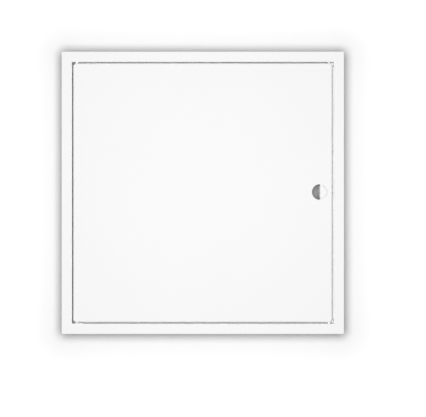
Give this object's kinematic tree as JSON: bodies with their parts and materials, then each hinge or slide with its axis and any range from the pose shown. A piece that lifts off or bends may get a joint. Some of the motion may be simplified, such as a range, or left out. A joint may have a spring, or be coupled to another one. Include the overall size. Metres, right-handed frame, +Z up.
{
  "type": "ceiling access panel",
  "caption": "Square flush access panel for a ceiling: folded white steel frame with a lap flange and a hinged, lift-out door with snap catches and a half-moon finger hole.",
  "frame": {"origin": "centre of the opening, on the plane of the flange's back, which lies on the ceiling or wall", "axes": "visible face looks along -Y and the box goes into the ceiling along +Y; +X runs from the hinge side to the catch side; +Z runs up the panel as pictured. In a ceiling the part is turned so that -Y points down."},
  "size_m": [0.33, 0.0298, 0.33],
  "materials": {
    "frame_paint": "satin white powder coat",
    "door_paint": "satin white powder coat",
    "silicone": "matt white silicone",
    "nylon": "moulded natural nylon",
    "acetal": "moulded white acetal",
    "zinc": "bright zinc plate",
    "spring_steel": "drawn spring wire"
  },
  "bodies": {
    "frame": {"top_rail": "frame_paint", "bottom_rail": "frame_paint", "hinge_rail": "frame_paint", "latch_rail": "frame_paint", "top_stop": "frame_paint", "bottom_stop": "frame_paint", "latch_stop": "frame_paint", "top_seal": "silicone", "bottom_seal": "silicone", "latch_seal": "silicone", "upper_pivot_bush": "nylon", "lower_pivot_bush": "nylon", "upper_strike_bush": "nylon", "lower_strike_bush": "nylon"},
    "door": {"door_panel": "door_paint", "upper_hinge_block": "nylon", "lower_hinge_block": "nylon", "upper_catch_block": "nylon", "lower_catch_block": "nylon", "block_studs": "zinc", "block_nuts": "zinc", "lower_hinge_pin": "acetal", "hinge_pin_spring": "spring_steel", "upper_catch_spring": "spring_steel", "lower_catch_spring": "spring_steel"},
    "hinge_pin": {"upper_hinge_pin": "acetal"},
    "upper_catch": {"upper_catch_plunger": "acetal"},
    "lower_catch": {"lower_catch_plunger": "acetal"}
  },
  "joints": [
    {"name": "door_swing", "type": "hinge", "parent": "frame", "child": "door", "pos_m": [-0.1473, 0.0025, 0], "axis": [0, 0, -1], "range_deg": [0, 110]},
    {"name": "hinge_pin_retract", "type": "slide", "parent": "door", "child": "hinge_pin", "axis": [0, 0, -1], "range_m": [0, 0.003], "stiffness_N_per_m": 300, "springref_m": -0.004, "deforming": ["hinge_pin_spring"]},
    {"name": "upper_catch_press", "type": "slide", "parent": "door", "child": "upper_catch", "axis": [0, 0, -1], "range_m": [0, 0.002], "stiffness_N_per_m": 400, "springref_m": -0.005, "deforming": ["upper_catch_spring"]},
    {"name": "lower_catch_press", "type": "slide", "parent": "door", "child": "lower_catch", "axis": [0, 0, 1], "range_m": [0, 0.002], "stiffness_N_per_m": 400, "springref_m": -0.005, "deforming": ["lower_catch_spring"]}
  ]
}
